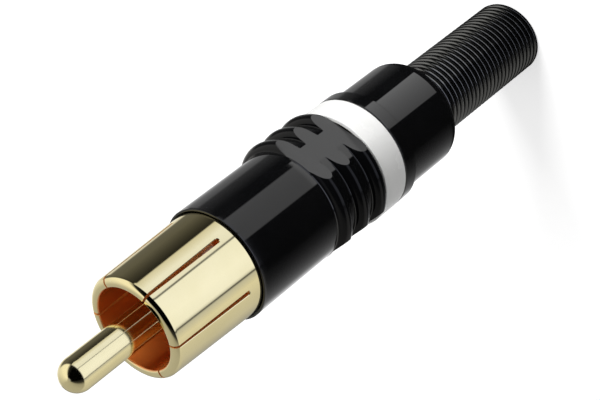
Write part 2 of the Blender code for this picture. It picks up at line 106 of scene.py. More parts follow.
def wound_wire():
    """The spring's wire, swept along its centre line and ground flat where it stands."""
    bm = bmesh.new()
    rings = []
    rise_per_radian = SPRING_PITCH / (2.0 * math.pi)
    for radius, angle, z in spring_centre_line():
        out = Vector((math.cos(angle), math.sin(angle), 0.0))
        along = Vector((-math.sin(angle) * radius, math.cos(angle) * radius, rise_per_radian))
        up = out.cross(along).normalized()
        centre = out * radius + Vector((0.0, 0.0, z))
        ring = []
        for k in range(WIRE_SIDES):
            side = 2.0 * math.pi * k / WIRE_SIDES
            place = centre + (out * math.cos(side) + up * math.sin(side)) * WIRE_R
            place.z = max(place.z, 0.0)
            ring.append(bm.verts.new(place))
        rings.append(ring)
    for near, far in zip(rings, rings[1:]):
        for k in range(WIRE_SIDES):
            after = (k + 1) % WIRE_SIDES
            bm.faces.new((near[k], near[after], far[after], far[k]))
    bm.faces.new(rings[0][::-1])
    bm.faces.new(rings[-1])
    return bm


def group_of(name, inputs, outputs):
    """An empty shader group with named sockets, and its two ends."""
    group = bpy.data.node_groups.new(name, "ShaderNodeTree")
    for socket, kind, value in inputs:
        made = group.interface.new_socket(name=socket, in_out="INPUT", socket_type=kind)
        made.default_value = value
    for socket, kind in outputs:
        group.interface.new_socket(name=socket, in_out="OUTPUT", socket_type=kind)
    return group, group.nodes.new("NodeGroupInput"), group.nodes.new("NodeGroupOutput")


def maths(tree, operation, first, second=None, clamp=False):
    """A Math node whose operands are sockets or numbers."""
    node = tree.nodes.new("ShaderNodeMath")
    node.operation = operation
    node.use_clamp = clamp
    for socket, operand in zip(node.inputs, (first, second)):
        if operand is None:
            continue
        if isinstance(operand, (int, float)):
            socket.default_value = operand
        else:
            tree.links.new(operand, socket)
    return node.outputs[0]


def noise(tree, vector, scale, detail=3.0, roughness=0.55):
    """Noise over a place; the scale is a number or a socket."""
    node = tree.nodes.new("ShaderNodeTexNoise")
    node.inputs["Detail"].default_value = detail
    node.inputs["Roughness"].default_value = roughness
    if isinstance(scale, (int, float)):
        node.inputs["Scale"].default_value = scale
    else:
        tree.links.new(scale, node.inputs["Scale"])
    tree.links.new(vector, node.inputs["Vector"])
    return node.outputs["Fac"]


def spread(tree, value, low, high):
    """Stretch a value so that low becomes 0 and high becomes 1."""
    node = tree.nodes.new("ShaderNodeMapRange")
    tree.links.new(value, node.inputs["Value"])
    node.inputs["From Min"].default_value = low
    node.inputs["From Max"].default_value = high
    return node.outputs["Result"]


def blend_colours(tree, mask, first, second):
    """Mix two colours, each a socket or a plain colour, by a mask."""
    node = tree.nodes.new("ShaderNodeMix")
    node.data_type = "RGBA"
    tree.links.new(mask, node.inputs["Factor"])
    for socket, colour in ((node.inputs[6], first), (node.inputs[7], second)):
        if isinstance(colour, tuple):
            socket.default_value = (*colour, 1.0)
        else:
            tree.links.new(colour, socket)
    return node.outputs[2]


def place_and_radius(tree):
    """The place on the piece in object space, its distance from the axis and its height."""
    place = tree.nodes.new("ShaderNodeTexCoord").outputs["Object"]
    parts = tree.nodes.new("ShaderNodeSeparateXYZ")
    tree.links.new(place, parts.inputs[0])
    square = maths(tree, "ADD", maths(tree, "MULTIPLY", parts.outputs[0], parts.outputs[0]),
                   maths(tree, "MULTIPLY", parts.outputs[1], parts.outputs[1]))
    return place, maths(tree, "SQRT", square), parts.outputs[2]


def make_mottle():
    """Two near colours that run into each other in soft clouds."""
    tree, given, out = group_of(
        "mottle",
        (("First", "NodeSocketColor", (0.5, 0.5, 0.5, 1.0)),
         ("Second", "NodeSocketColor", (0.5, 0.5, 0.5, 1.0)),
         ("Scale", "NodeSocketFloat", 400.0)),
        (("Color", "NodeSocketColor"),))
    place = place_and_radius(tree)[0]
    cloud = spread(tree, noise(tree, place, given.outputs["Scale"], 4.0), *MOTTLE_RANGE)
    mixed = blend_colours(tree, cloud, given.outputs["First"], given.outputs["Second"])
    tree.links.new(mixed, out.inputs[0])
    return tree


def make_handled_gloss():
    """A roughness that wanders between two values, as handling and wiping leave it."""
    tree, given, out = group_of(
        "handled_gloss",
        (("Smooth", "NodeSocketFloat", 0.1), ("Dull", "NodeSocketFloat", 0.2),
         ("Scale", "NodeSocketFloat", 300.0)),
        (("Roughness", "NodeSocketFloat"),))
    place = place_and_radius(tree)[0]
    cloud = spread(tree, noise(tree, place, given.outputs["Scale"], 5.0, 0.6), *GLOSS_RANGE)
    reach = maths(tree, "SUBTRACT", given.outputs["Dull"], given.outputs["Smooth"])
    wander = maths(tree, "MULTIPLY", cloud, reach)
    tree.links.new(maths(tree, "ADD", wander, given.outputs["Smooth"]), out.inputs[0])
    return tree


def make_turning_lines():
    """Fine rings round the axis, as a lathe tool or a drawing die leaves them."""
    tree, given, out = group_of(
        "turning_lines", (("Lines", "NodeSocketFloat", 9000.0),), (("Height", "NodeSocketFloat"),))
    radius, height = place_and_radius(tree)[1:]
    across = tree.nodes.new("ShaderNodeCombineXYZ")
    tree.links.new(maths(tree, "MULTIPLY", radius, given.outputs["Lines"]), across.inputs[0])
    tree.links.new(maths(tree, "MULTIPLY", height, given.outputs["Lines"]), across.inputs[2])
    tree.links.new(noise(tree, across.outputs[0], 1.0, 2.0), out.inputs[0])
    return tree


def make_edge_wear():
    """A mask of the corners that rubbing reaches, broken up by fine noise."""
    tree, given, out = group_of(
        "edge_wear",
        (("Reach", "NodeSocketFloat", 0.5), ("Scale", "NodeSocketFloat", 1500.0)),
        (("Mask", "NodeSocketFloat"),))
    corner = tree.nodes.new("ShaderNodeNewGeometry").outputs["Pointiness"]
    place = place_and_radius(tree)[0]
    sharp = spread(tree, corner, *CORNER_RANGE)
    broken = spread(tree, noise(tree, place, given.outputs["Scale"], 5.0, 0.7), *CHIP_RANGE)
    worn = maths(tree, "MULTIPLY", sharp, broken)
    tree.links.new(maths(tree, "MULTIPLY", worn, given.outputs["Reach"], True), out.inputs[0])
    return tree


mottle = make_mottle()
handled_gloss = make_handled_gloss()
turning_lines = make_turning_lines()
edge_wear = make_edge_wear()


def use_group(tree, group, values):
    """Place a shared group in a material with this material's own values."""
    node = tree.nodes.new("ShaderNodeGroup")
    node.node_tree = group
    for socket, value in values.items():
        node.inputs[socket].default_value = (*value, 1.0) if isinstance(value, tuple) else value
    return node.outputs[0]


def new_material(name, metallic=0.0, ior=1.5):
    """A material with its Principled shader."""
    material = bpy.data.materials.new(name)
    material.use_nodes = True
    shader = material.node_tree.nodes["Principled BSDF"]
    shader.inputs["Metallic"].default_value = metallic
    shader.inputs["IOR"].default_value = ior
    return material, material.node_tree, shader


def raise_surface(tree, shader, height, distance):
    """Feed a height to the shader's normal; the distance is in metres."""
    bump = tree.nodes.new("ShaderNodeBump")
    bump.inputs["Strength"].default_value = 1.0
    bump.inputs["Distance"].default_value = distance
    tree.links.new(height, bump.inputs["Height"])
    tree.links.new(bump.outputs[0], shader.inputs["Normal"])


def finish_of(name, colours, worn_colour, roughness, scale=400.0, metallic=0.0, ior=1.5,
              wear=0.5, lines=9000.0, line_depth=0.0000006):
    """A finish with clouded colour, handled gloss, worn edges and fine turning lines.

    Line depth is in metres. The clouds of gloss are a little larger than those of colour.
    """
    material, tree, shader = new_material(name, metallic, ior)
    colour = use_group(tree, mottle, {"First": colours[0], "Second": colours[1], "Scale": scale})
    worn = use_group(tree, edge_wear, {"Reach": wear, "Scale": CHIP_SCALE})
    tree.links.new(blend_colours(tree, worn, colour, worn_colour), shader.inputs["Base Color"])
    gloss = use_group(tree, handled_gloss, {
        "Smooth": roughness[0], "Dull": roughness[1], "Scale": scale * GLOSS_CLOUD_SIZE})
    tree.links.new(gloss, shader.inputs["Roughness"])
    raise_surface(tree, shader, use_group(tree, turning_lines, {"Lines": lines}), line_depth)
    return material


spring = add_piece("kink_spring_wire", wound_wire(), 50.0)
spring.data.materials.append(finish_of(
    "blackened_wire", WIRE_COLOURS, WIRE_WORN_COLOUR, WIRE_ROUGHNESS, scale=900.0, metallic=1.0,
    wear=0.3, lines=14000.0, line_depth=0.000001))
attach(spring, "rear_end")
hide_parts("kink_spring")


# Rear cap: turned from brass bar and finished in glossy black chrome. Its flange clamps the
# colour ring, its round end lets the spring through, and a thread inside its front end
# screws onto the shell's spigot.
THREAD_PITCH = 0.75
THREAD_DEPTH = 0.27
THREAD_CREST = 0.15
THREAD_FLANK = 0.7
THREAD_RUNOUT = 0.4
THREAD_ROWS_PER_TURN = 12
SAME_RADIUS = 0.0005
WELD = 0.00001
CAP_REAR_Z = 16.45
CAP_FRONT_Z = 26.05
CAP_BODY_R = 5.54
CAP_FLANGE_R = 5.98
CAP_FLANGE_LOW_Z = 24.50
CAP_FLANGE_FILLET = 0.30
CAP_END_ROUND = 1.50
CAP_EDGE = 0.10
CAP_BORE_R = 5.10
CAP_LEDGE_Z = 20.90
CAP_THREAD_LOW_Z = CAP_LEDGE_Z + 1.9
CAP_THREAD_HIGH_Z = CAP_FRONT_Z - 0.25
SPRING_SEAT_R = 3.97
GUARD = 0.03
LEAST_CORNER = 20.0
LARGEST_CUT = 0.45
BLACK_COLOURS = ((0.0022, 0.0023, 0.0027), (0.0032, 0.0033, 0.0037))
BLACK_WORN_COLOUR = (0.012, 0.012, 0.013)
BLACK_ROUGHNESS = (0.030, 0.055)


def arc(centre_r, centre_z, radius, start, end, steps):
    """Points of an arc in the (radius, height) plane, angles in degrees from +radius."""
    points = []
    for i in range(steps + 1):
        angle = math.radians(start + (end - start) * i / steps)
        points.append((centre_r + radius * math.cos(angle), centre_z + radius * math.sin(angle)))
    return points


def softened(profile, radius, steps=4, closed=True):
    """Round a profile's corners, and keep the faces beside them true with guard points.

    A guard point stands just beyond each rounding, where there is room for it, so that smooth
    shading doesn't tilt the face that follows and bend what it mirrors.
    """
    count = len(profile)
    points = []
    for i, (r, z) in enumerate(profile):
        if not closed and i in (0, count - 1):
            points.append((r, z))
            continue
        here = Vector((r, z))
        back = Vector(profile[i - 1]) - here
        ahead = Vector(profile[(i + 1) % count]) - here
        turn = math.pi - back.angle(ahead)
        if turn < math.radians(LEAST_CORNER):
            points.append((r, z))
            continue
        cut = min(radius * math.tan(turn / 2.0), LARGEST_CUT * back.length, LARGEST_CUT * ahead.length)
        first = here + back.normalized() * cut
        last = here + ahead.normalized() * cut
        if back.length > 2.0 * cut + 4.0 * GUARD:
            points.append(tuple(first + back.normalized() * GUARD))
        for k in range(steps + 1):
            share = k / steps
            place = first.lerp(here, share).lerp(here.lerp(last, share), share)
            points.append((place.x, place.y))
        if ahead.length > 2.0 * cut + 4.0 * GUARD:
            points.append(tuple(last + ahead.normalized() * GUARD))
    return points


def thread_rows(radius, start_z, end_z):
    """Close rows of points along a thread, at its crest radius."""
    count = math.ceil(abs(end_z - start_z) / THREAD_PITCH * THREAD_ROWS_PER_TURN)
    return [(radius, start_z + (end_z - start_z) * i / count) for i in range(count + 1)]


def cut_thread(bm, radius, low_z, high_z, side):
    """Press a right-handed thread into a turned face: side is -1 for outside, +1 for a bore."""
    for vert in bm.verts:
        across = math.hypot(vert.co.x, vert.co.y)
        if abs(across - radius) > SAME_RADIUS or not low_z < vert.co.z < high_z:
            continue
        phase = (vert.co.z / THREAD_PITCH - math.atan2(vert.co.y, vert.co.x) / (2.0 * math.pi)) % 1.0
        from_crest = abs(phase - 0.5) * 2.0
        depth = THREAD_DEPTH * min(max((from_crest - THREAD_CREST) / THREAD_FLANK, 0.0), 1.0)
        depth *= min((vert.co.z - low_z) / THREAD_RUNOUT, (high_z - vert.co.z) / THREAD_RUNOUT, 1.0)
        scale = (across + side * depth) / across
        vert.co.x *= scale
        vert.co.y *= scale


def turned(profile, steps=120, closed=True):
    """Turn a profile of (radius, height) points about the plug's axis."""
    bm = bmesh.new()
    rows = []
    for k in range(steps):
        angle = 2.0 * math.pi * k / steps
        rows.append([bm.verts.new((r * math.cos(angle), r * math.sin(angle), z)) for r, z in profile])
    last = len(profile) if closed else len(profile) - 1
    for k in range(steps):
        near, far = rows[k], rows[(k + 1) % steps]
        for i in range(last):
            after = (i + 1) % len(profile)
            bm.faces.new((near[i], far[i], far[after], near[after]))
    bmesh.ops.remove_doubles(bm, verts=bm.verts, dist=WELD)
    return bm


cap_corners = [(CAP_FLANGE_R, CAP_FRONT_Z), (CAP_FLANGE_R, CAP_FLANGE_LOW_Z)]
cap_corners += arc(CAP_BODY_R + CAP_FLANGE_FILLET, CAP_FLANGE_LOW_Z - CAP_FLANGE_FILLET,
                   CAP_FLANGE_FILLET, 90.0, 180.0, 12)
cap_corners += [(CAP_BODY_R, CAP_FLANGE_LOW_Z - CAP_FLANGE_FILLET - GUARD)]
cap_corners += [(CAP_BODY_R, CAP_REAR_Z + CAP_END_ROUND + GUARD)]
cap_corners += arc(CAP_BODY_R - CAP_END_ROUND, CAP_REAR_Z + CAP_END_ROUND,
                   CAP_END_ROUND, 0.0, -90.0, 24)
cap_corners += [(SPRING_SEAT_R, CAP_REAR_Z), (SPRING_SEAT_R, CAP_LEDGE_Z), (CAP_BORE_R, CAP_LEDGE_Z)]
cap_corners += thread_rows(CAP_BORE_R, CAP_THREAD_LOW_Z, CAP_THREAD_HIGH_Z)
cap_corners += [(CAP_BORE_R, CAP_FRONT_Z)]
cap_mesh = turned(softened(cap_corners, CAP_EDGE), 160)
cut_thread(cap_mesh, CAP_BORE_R, CAP_THREAD_LOW_Z, CAP_THREAD_HIGH_Z, 1.0)
cap = add_piece("rear_cap_turned", cap_mesh)
black_chrome = finish_of("black_chrome", BLACK_COLOURS, BLACK_WORN_COLOUR, BLACK_ROUGHNESS, scale=260.0,
                         ior=1.55, wear=0.6, line_depth=0.0000002)
cap.data.materials.append(black_chrome)
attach(cap, "rear_end")
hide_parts("rear_cap")


# Thrust washer: a stamped fibre disc that lies on the spring's flared turn, so that the
# shell's spigot clamps the spring without scoring it.
WASHER_CORNERS = [(3.30, 22.85), (4.95, 22.85), (4.95, 22.35), (3.30, 22.35)]
WASHER_EDGE = 0.06
FIBRE_COLOURS = ((0.27, 0.27, 0.28), (0.34, 0.34, 0.35))
FIBRE_WORN_COLOUR = (0.42, 0.42, 0.42)
FIBRE_ROUGHNESS = (0.42, 0.58)

washer = add_piece("thrust_washer_disc", turned(softened(WASHER_CORNERS, WASHER_EDGE)))
washer.data.materials.append(finish_of(
    "grey_fibre", FIBRE_COLOURS, FIBRE_WORN_COLOUR, FIBRE_ROUGHNESS, scale=1800.0,
    line_depth=0.000003))
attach(washer, "washer")
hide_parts("thrust_washer")


# Colour ring: moulded in glossy white plastic and clamped between shell and rear cap. It
# marks the channel of the cable.
RING_CORNERS = [(5.10, 29.15), (5.98, 29.15), (5.98, 26.10), (5.10, 26.10)]
RING_EDGE = 0.12
RING_COLOURS = ((0.88, 0.88, 0.865), (0.895, 0.895, 0.88))
RING_WORN_COLOUR = (0.93, 0.93, 0.92)
RING_ROUGHNESS = (0.24, 0.29)

ring = add_piece("colour_ring_moulding", turned(softened(RING_CORNERS, RING_EDGE), 192))
ring.data.materials.append(finish_of(
    "white_gloss_plastic", RING_COLOURS, RING_WORN_COLOUR, RING_ROUGHNESS, scale=500.0,
    wear=0.4, line_depth=0.0000005))
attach(ring, "ring")
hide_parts("colour_ring")


# Front shell: turned from brass bar with three round ribs for the fingers, then milled with
# three flats across them, and finished in the same glossy black chrome as the cap. Threads
# in its bore and on its spigot hold the insert and the cap. The outside in front is bare.
SHELL_REAR_Z = 29.20
SHELL_FRONT_Z = 46.27
SHELL_R = 5.68
SHELL_MOUTH_R = 5.47
SHELL_MOUTH_STEP_Z = 44.82
SHELL_MOUTH_START_Z = SHELL_FRONT_Z - 0.6
SHELL_OUTSIDE_START_Z = SHELL_FRONT_Z - 1.0
SHELL_FRONT_EDGE = 0.06
SHELL_EDGE = 0.08
SHELL_BORE_R = 4.95
BORE_THREAD_LOW_Z = 38.3
BORE_THREAD_HIGH_Z = SHELL_MOUTH_STEP_Z - 0.15
SPIGOT_R = 5.00
SPIGOT_END_Z = 22.90
SPIGOT_THREAD_LOW_Z = SPIGOT_END_Z + 0.3
SPIGOT_THREAD_HIGH_Z = SHELL_REAR_Z - 3.3
CONE_TOP = (4.50, 29.80)
CONE_END = (3.60, 24.80)
RIB_ROUND = 0.80
RIB_HEIGHT = 0.726
RIB_PITCH = 2.54
RIB_FILLETS = ((0.30, 0.12), (0.12, 0.12), (0.12, 0.0))
LAST_RIB_Z = 30.038
FLAT_DISTANCE = 5.57
FLAT_LOW_Z = SHELL_REAR_Z + 0.001
FLAT_TOP_Z = 36.00
FLAT_ANGLES = (-62.5, 57.5, 177.5)
FLAT_MATCH = 0.99999
MILL_DEPTH = 3.0
RUBBED_ABOVE_R = (SHELL_R + 0.03) * MM
RUBBED_ROUGHNESS = (0.110, 0.150)


def rib(centre_z, front_fillet, rear_fillet):
    """One round rib, from its front fillet over the crest to its rear fillet, if it has one."""
    centre_r = SHELL_R + RIB_HEIGHT - RIB_ROUND
    halves = []
    for side, fillet in ((1.0, front_fillet), (-1.0, rear_fillet)):
        rise = math.sqrt((RIB_ROUND + fillet) ** 2 - (SHELL_R + fillet - centre_r) ** 2)
        tangent = math.degrees(math.atan2(rise, SHELL_R + fillet - centre_r))
        half = arc(centre_r, centre_z, RIB_ROUND, side * tangent, 0.0, 14)
        if fillet > 0.0:
            lead = arc(SHELL_R + fillet, centre_z + side * rise, fillet, 180.0, 180.0 + side * tangent, 12)
            half = [(SHELL_R, centre_z + side * (rise + GUARD))] + lead[:-1] + half
        halves.append(half)
    return halves[0] + halves[1][-2::-1]


def carved(piece, cutter_bm, sharp_angle=28.0):
    """Cut a piece with a tool solid, in millimetres, and keep the result as its mesh."""
    tool = add_piece(piece.name + "_tool", cutter_bm)
    cut = piece.modifiers.new("cut", "BOOLEAN")
    cut.operation = "DIFFERENCE"
    cut.solver = "EXACT"
    cut.object = tool
    bpy.context.view_layer.update()
    done = bpy.data.meshes.new_from_object(piece.evaluated_get(bpy.context.evaluated_depsgraph_get()))
    piece.modifiers.remove(cut)
    old = piece.data
    piece.data = done
    done.name = piece.name
    bpy.data.meshes.remove(old)
    tool_mesh = tool.data
    bpy.data.objects.remove(tool, do_unlink=True)
    bpy.data.meshes.remove(tool_mesh)
    smooth_between_edges(done, sharp_angle)


def tool_block(size, centre, angle):
    """A rectangular tool solid, turned about the plug's axis by an angle in degrees."""
    bm = bmesh.new()
    bmesh.ops.create_cube(bm, size=1.0)
    bmesh.ops.scale(bm, vec=size, verts=bm.verts)
    bmesh.ops.translate(bm, vec=centre, verts=bm.verts)
    about_axis = Matrix.Rotation(math.radians(angle), 3, "Z")
    bmesh.ops.rotate(bm, cent=(0.0, 0.0, 0.0), matrix=about_axis, verts=bm.verts)
    return bm


def milling_block(distance, half_width, low_z, high_z, angle):
    """A block whose inner face lies at a distance from the axis, in the direction of an angle."""
    size = (MILL_DEPTH, 2.0 * half_width, high_z - low_z)
    return tool_block(size, (distance + MILL_DEPTH / 2.0, 0.0, (high_z + low_z) / 2.0), angle)


def faces_on_flats(mesh, angles):
    """Numbers of the faces that the mill left, told by the way they face."""
    ways = [Vector((math.cos(math.radians(a)), math.sin(math.radians(a)), 0.0)) for a in angles]
    return {f.index for f in mesh.polygons if any(f.normal.dot(way) > FLAT_MATCH for way in ways)}


def crisp_edges(mesh, flat_faces):
    """Sharp edges round the flats, also where they meet a groove at a shallow angle."""
    sides = {}
    for face in mesh.polygons:
        for key in face.edge_keys:
            sides.setdefault(key, []).append(face.index in flat_faces)
    for edge in mesh.edges:
        if len(set(sides.get(edge.key, ()))) == 2:
            edge.use_edge_sharp = True


def rub_ribs(mesh, flat_faces):
    """The second material on the ribs' round faces, which fingers leave less glossy."""
    for face in mesh.polygons:
        outside = math.hypot(face.center.x, face.center.y) > RUBBED_ABOVE_R
        face.material_index = 1 if outside and face.index not in flat_faces else 0


shell_front = [(SHELL_MOUTH_R, SHELL_MOUTH_START_Z), (SHELL_MOUTH_R, SHELL_FRONT_Z)]
shell_front += [(SHELL_R, SHELL_FRONT_Z), (SHELL_R, SHELL_OUTSIDE_START_Z)]
shell_profile = softened(shell_front, SHELL_FRONT_EDGE, closed=False)
for number, (front_fillet, rear_fillet) in enumerate(RIB_FILLETS):
    shell_profile += rib(LAST_RIB_Z + (2 - number) * RIB_PITCH, front_fillet, rear_fillet)
spigot = [(SHELL_R, SHELL_REAR_Z), (SPIGOT_R, SHELL_REAR_Z)]
spigot += thread_rows(SPIGOT_R, SPIGOT_THREAD_HIGH_Z, SPIGOT_THREAD_LOW_Z)
spigot += [(SPIGOT_R, SPIGOT_END_Z), (CONE_END[0], SPIGOT_END_Z), CONE_END, CONE_TOP]
spigot += [(SHELL_BORE_R, CONE_TOP[1])]
spigot += thread_rows(SHELL_BORE_R, BORE_THREAD_LOW_Z, BORE_THREAD_HIGH_Z)
spigot += [(SHELL_BORE_R, SHELL_MOUTH_STEP_Z), (SHELL_MOUTH_R, SHELL_MOUTH_STEP_Z)]
shell_profile += softened(spigot, SHELL_EDGE, closed=False)
shell_mesh = turned(shell_profile, 192)
cut_thread(shell_mesh, SPIGOT_R, SPIGOT_THREAD_LOW_Z, SPIGOT_THREAD_HIGH_Z, -1.0)
cut_thread(shell_mesh, SHELL_BORE_R, BORE_THREAD_LOW_Z, BORE_THREAD_HIGH_Z, 1.0)
shell = add_piece("front_shell_ribbed", shell_mesh)
for flat_angle in FLAT_ANGLES:
    carved(shell, milling_block(FLAT_DISTANCE, SHELL_R, FLAT_LOW_Z, FLAT_TOP_Z, flat_angle))
shell.data.materials.clear()
shell.data.materials.append(black_chrome)
shell.data.materials.append(finish_of(
    "rubbed_black_chrome", BLACK_COLOURS, BLACK_WORN_COLOUR, RUBBED_ROUGHNESS, scale=260.0,
    ior=1.26, wear=0.6, line_depth=0.0000002))
milled_faces = faces_on_flats(shell.data, FLAT_ANGLES)
crisp_edges(shell.data, milled_faces)
rub_ribs(shell.data, milled_faces)
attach(shell, "shell")
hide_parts("front_shell")


# Cable collet: moulded in dark plastic, with two cross slots that make four jaws. The cone
# inside the shell squeezes them onto the cable.
COLLET_CORNERS = [(3.10, 30.85), (4.80, 30.85), (4.80, 29.85), (4.40, 29.85), (3.509, 24.85), (3.10, 24.85)]
COLLET_EDGE = 0.09
COLLET_SLOT_TOP_Z = 28.75
COLLET_SLOT_ANGLES = (45.0, 135.0)
SAW_SIZE = (12.0, 0.6, 6.0)
MOULDING_COLOURS = ((0.060, 0.060, 0.064), (0.082, 0.082, 0.086))
MOULDING_WORN_COLOUR = (0.13, 0.13, 0.13)
MOULDING_ROUGHNESS = (0.38, 0.52)

collet = add_piece("cable_collet_chuck", turned(softened(COLLET_CORNERS, COLLET_EDGE)))
for slot_angle in COLLET_SLOT_ANGLES:
    carved(collet, tool_block(SAW_SIZE, (0.0, 0.0, COLLET_SLOT_TOP_Z - SAW_SIZE[2] / 2.0), slot_angle))
collet.data.materials.clear()
collet.data.materials.append(finish_of(
    "dark_moulding", MOULDING_COLOURS, MOULDING_WORN_COLOUR, MOULDING_ROUGHNESS, scale=1500.0,
    line_depth=0.000002))
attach(collet, "collet")
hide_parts("cable_collet")


# Insulating liner: a cut length of milky plastic tube that keeps the solder joints away from
# the shell.
LINER_CORNERS = [(4.45, 38.70), (4.80, 38.70), (4.80, 30.90), (4.45, 30.90)]
LINER_EDGE = 0.08
MILKY_COLOURS = ((0.70, 0.70, 0.66), (0.75, 0.75, 0.71))
MILKY_WORN_COLOUR = (0.80, 0.80, 0.77)
MILKY_ROUGHNESS = (0.30, 0.42)

liner = add_piece("insulating_liner_tube", turned(softened(LINER_CORNERS, LINER_EDGE)))
liner.data.materials.append(finish_of(
    "milky_tube", MILKY_COLOURS, MILKY_WORN_COLOUR, MILKY_ROUGHNESS, scale=700.0,
    line_depth=0.000001))
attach(liner, "liner")
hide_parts("insulating_liner")


# Contact sleeve: turned from brass, slotted into six fingers that are squeezed in at the
# mouth to grip a jack, and thinly gold plated. Its barrel screws into the shell.
SLEEVE_MOUTH_Z = 56.80
SLEEVE_MOUTH_R = 5.10
SLEEVE_ROOT_R = 5.37
SLEEVE_MOUTH_BORE_R = 4.10
SLEEVE_ROOT_BORE_R = 4.20
SLEEVE_OUTER_LIP = 0.60
SLEEVE_INNER_LIP = 0.24
SLEEVE_LIP_GUARD_R = SLEEVE_MOUTH_R + 0.0008
SLEEVE_EDGE = 0.06
SHOULDER_Z = 44.87
BARREL_END_Z = 38.75
BARREL_R = 4.85
BARREL_THREAD_LOW_Z = BARREL_END_Z + 0.2
BARREL_THREAD_HIGH_Z = SHOULDER_Z - 0.4
BARREL_BORE_R = 4.35
BARREL_LIP_R = 3.90
BARREL_LIP_Z = 39.10
INSULATOR_LEDGE_Z = 47.40
SLOT_ROOT_Z = 47.75
SLOT_WIDTHS = (0.42, 0.22)
SLOT_COUNT = 6
SLOT_FIRST_ANGLE = -73.0
SLOT_BEVEL = 0.055
SLOT_ROOT_STEPS = 14
SLOT_OVERRUN = 0.5
SLOT_INNER_REACH = 2.8
SLOT_CLEARANCE = 0.02
SLOT_OUTER_REACH = 1.2
GOLD_COLOURS = ((0.86, 0.76, 0.425), (0.89, 0.79, 0.455))
# Painted glow: the deep orange of the bore and slot walls stands in for light bounced between the gold
# walls and the white insulator. It fades out towards the mouth.
BORE_PAINTED_GLOW_COLOUR = (0.84, 0.245, 0.045)
SLOT_PAINTED_GLOW_COLOUR = (0.90, 0.46, 0.13)
GOLD_BORE_DULLNESS = 0.12
GOLD_BORE_BODY = 0.45
GOLD_WORN_COLOUR = (0.93, 0.86, 0.66)
BORE_LOW_Z = INSULATOR_LEDGE_Z - 0.2
BORE_EDGE_R = (4.98 * MM, 4.86 * MM)
LIP_FADE_Z = ((SLEEVE_MOUTH_Z - 1.3) * MM, (SLEEVE_MOUTH_Z - 0.5) * MM)
LIP_SHIFT = 0.74 * MM
SLOT_WALL_RANGE = (0.45, 0.25)


def slot_tool():
    """Six tapered slots with round roots, which flare a little where they leave the metal."""
    growth = (SLOT_WIDTHS[0] - SLOT_WIDTHS[1]) / (SLEEVE_MOUTH_Z - SLOT_ROOT_Z)
    root_half = SLOT_WIDTHS[0] / 2.0
    top_z = SLEEVE_MOUTH_Z + SLOT_OVERRUN
    slope = (SLEEVE_ROOT_R - SLEEVE_MOUTH_R) / (SLEEVE_MOUTH_Z - SHELL_FRONT_Z)
    flare = SLOT_BEVEL + SLOT_CLEARANCE
    sections = ((None, 0.0), (-SLOT_BEVEL, 0.0), (SLOT_CLEARANCE, flare), (SLOT_OUTER_REACH, flare))

    def outline(spare):
        """The slot's edge, wider all round by a spare."""
        half = root_half + spare
        top_half = root_half - growth * (top_z - SLOT_ROOT_Z) / 2.0 + spare
        edge = [(top_z, top_half), (top_z, -top_half)]
        for i in range(SLOT_ROOT_STEPS + 1):
            angle = math.radians(-90.0 - 180.0 * i / SLOT_ROOT_STEPS)
            edge.append((SLOT_ROOT_Z + root_half + half * math.cos(angle), half * math.sin(angle)))
        return edge

    bm = bmesh.new()
    for number in range(SLOT_COUNT):
        turn = math.radians(SLOT_FIRST_ANGLE + number * 360.0 / SLOT_COUNT)
        across = Vector((-math.sin(turn), math.cos(turn), 0.0))
        out = Vector((math.cos(turn), math.sin(turn), 0.0))
        rings = []
        for depth, spare in sections:
            ring = []
            for z, side in outline(spare):
                outer = SLEEVE_ROOT_R - slope * (z - SHELL_FRONT_Z)
                reach = SLOT_INNER_REACH if depth is None else outer + depth
                ring.append(bm.verts.new(out * reach + across * side + Vector((0.0, 0.0, z))))
            rings.append(ring)
        for low, high in zip(rings, rings[1:]):
            for k in range(len(low)):
                after = (k + 1) % len(low)
                bm.faces.new((low[k], low[after], high[after], high[k]))
        bm.faces.new(rings[0][::-1])
        bm.faces.new(rings[-1])
    return bm


def slot_walls(tree):
    """A mask of the faces that point neither away from the axis nor along it."""
    coordinates = tree.nodes.new("ShaderNodeTexCoord")
    flattened = tree.nodes.new("ShaderNodeVectorMath")
    flattened.operation = "MULTIPLY"
    flattened.inputs[1].default_value = (1.0, 1.0, 0.0)
    tree.links.new(coordinates.outputs["Object"], flattened.inputs[0])
    outwards = tree.nodes.new("ShaderNodeVectorMath")
    outwards.operation = "NORMALIZE"
    tree.links.new(flattened.outputs[0], outwards.inputs[0])
    facing = tree.nodes.new("ShaderNodeVectorMath")
    facing.operation = "DOT_PRODUCT"
    tree.links.new(outwards.outputs[0], facing.inputs[0])
    tree.links.new(coordinates.outputs["Normal"], facing.inputs[1])
    parts = tree.nodes.new("ShaderNodeSeparateXYZ")
    tree.links.new(coordinates.outputs["Normal"], parts.inputs[0])
    sideways = spread(tree, maths(tree, "ABSOLUTE", facing.outputs["Value"]), *SLOT_WALL_RANGE)
    level = spread(tree, maths(tree, "ABSOLUTE", parts.outputs[2]), *SLOT_WALL_RANGE)
    return maths(tree, "MULTIPLY", sideways, level)


